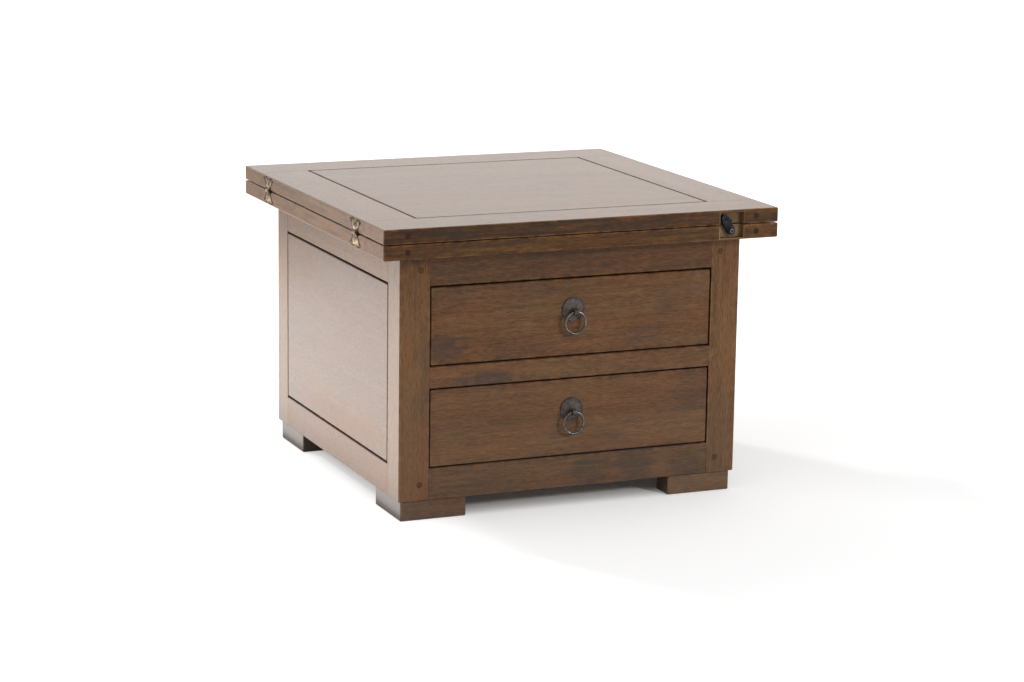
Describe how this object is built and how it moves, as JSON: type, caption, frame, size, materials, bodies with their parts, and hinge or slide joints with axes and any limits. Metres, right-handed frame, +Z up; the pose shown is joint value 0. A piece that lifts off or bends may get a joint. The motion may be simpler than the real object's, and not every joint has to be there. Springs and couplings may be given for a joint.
{
  "type": "extendable coffee table",
  "caption": "Square dark wood coffee table with a fold-over double top that swivels and unfolds, brass edge hinges, a turn latch and inset drawers with iron ring pulls.",
  "frame": {"origin": "on the floor, at the middle of the overall width and depth", "axes": "+X to the right, +Y to the back, +Z up; the drawers open towards -Y"},
  "size_m": [0.603, 0.6, 0.4222],
  "materials": {
    "dark_wood": "dark brown stain under satin varnish",
    "inner_wood": "plain lighter wood inside",
    "aged_brass": "aged brass",
    "dark_iron": "dark satin iron",
    "plain_steel": "plain steel"
  },
  "bodies": {
    "carcass": {"front_left_post": "dark_wood", "front_left_foot": "dark_wood", "front_right_post": "dark_wood", "front_right_foot": "dark_wood", "back_left_post": "dark_wood", "back_left_foot": "dark_wood", "back_right_post": "dark_wood", "back_right_foot": "dark_wood", "front_top_rail": "dark_wood", "front_middle_rail": "dark_wood", "front_bottom_rail": "dark_wood", "left_top_rail": "dark_wood", "left_bottom_rail": "dark_wood", "left_panel": "dark_wood", "right_top_rail": "dark_wood", "right_bottom_rail": "dark_wood", "right_panel": "dark_wood", "back_top_rail": "dark_wood", "back_bottom_rail": "dark_wood", "back_panel": "dark_wood", "carcass_top_board": "inner_wood", "base_panel": "inner_wood", "upper_drawer_left_runner": "inner_wood", "upper_drawer_right_runner": "inner_wood"},
    "lower_leaf": {"lower_leaf_front_rail": "dark_wood", "lower_leaf_back_rail": "dark_wood", "lower_leaf_left_stile": "dark_wood", "lower_leaf_right_stile": "dark_wood", "lower_leaf_panel": "dark_wood", "front_hinge_lower_wing": "aged_brass", "back_hinge_lower_wing": "aged_brass", "front_hinge_pin": "aged_brass", "back_hinge_pin": "aged_brass", "latch_pivot_screw": "plain_steel", "swivel_flange": "plain_steel", "swivel_nut": "plain_steel", "swivel_stop_pin": "plain_steel"},
    "upper_leaf": {"upper_leaf_front_rail": "dark_wood", "upper_leaf_back_rail": "dark_wood", "upper_leaf_left_stile": "dark_wood", "upper_leaf_right_stile": "dark_wood", "upper_leaf_panel": "dark_wood", "front_hinge_upper_wing": "aged_brass", "back_hinge_upper_wing": "aged_brass", "latch_keeper_stud": "plain_steel"},
    "latch_lever": {"latch_lever": "dark_iron"},
    "upper_drawer": {"upper_drawer_front": "dark_wood", "upper_drawer_left_side": "inner_wood", "upper_drawer_right_side": "inner_wood", "upper_drawer_back": "inner_wood", "upper_drawer_bottom": "inner_wood", "upper_pull_rose": "dark_iron"},
    "lower_drawer": {"lower_drawer_front": "dark_wood", "lower_drawer_left_side": "inner_wood", "lower_drawer_right_side": "inner_wood", "lower_drawer_back": "inner_wood", "lower_drawer_bottom": "inner_wood", "lower_pull_rose": "dark_iron"},
    "upper_ring": {"upper_pull_ring": "dark_iron"},
    "lower_ring": {"lower_pull_ring": "dark_iron"}
  },
  "joints": [
    {"name": "top_swivel", "type": "hinge", "parent": "carcass", "child": "lower_leaf", "pos_m": [-0.1485, 0.15, 0.3794], "axis": [0, 0, 1], "range_deg": [0, 90]},
    {"name": "leaf_unfold", "type": "hinge", "parent": "lower_leaf", "child": "upper_leaf", "pos_m": [-0.2989, 0, 0.4008], "axis": [0, -1, 0], "range_deg": [0, 180]},
    {"name": "upper_drawer_slide", "type": "slide", "parent": "carcass", "child": "upper_drawer", "axis": [0, -1, 0], "range_m": [0, 0.3]},
    {"name": "lower_drawer_slide", "type": "slide", "parent": "carcass", "child": "lower_drawer", "axis": [0, -1, 0], "range_m": [0, 0.3]},
    {"name": "upper_ring_swing", "type": "hinge", "parent": "upper_drawer", "child": "upper_ring", "pos_m": [0.0015, -0.2697, 0.28425], "axis": [-1, 0, 0], "range_deg": [0, 165]},
    {"name": "lower_ring_swing", "type": "hinge", "parent": "lower_drawer", "child": "lower_ring", "pos_m": [0.0015, -0.2697, 0.13975], "axis": [-1, 0, 0], "range_deg": [0, 165]},
    {"name": "latch_turn", "type": "hinge", "parent": "lower_leaf", "child": "latch_lever", "pos_m": [0.2281, -0.298, 0.3919], "axis": [0, 1, 0], "range_deg": [0, 30]}
  ]
}
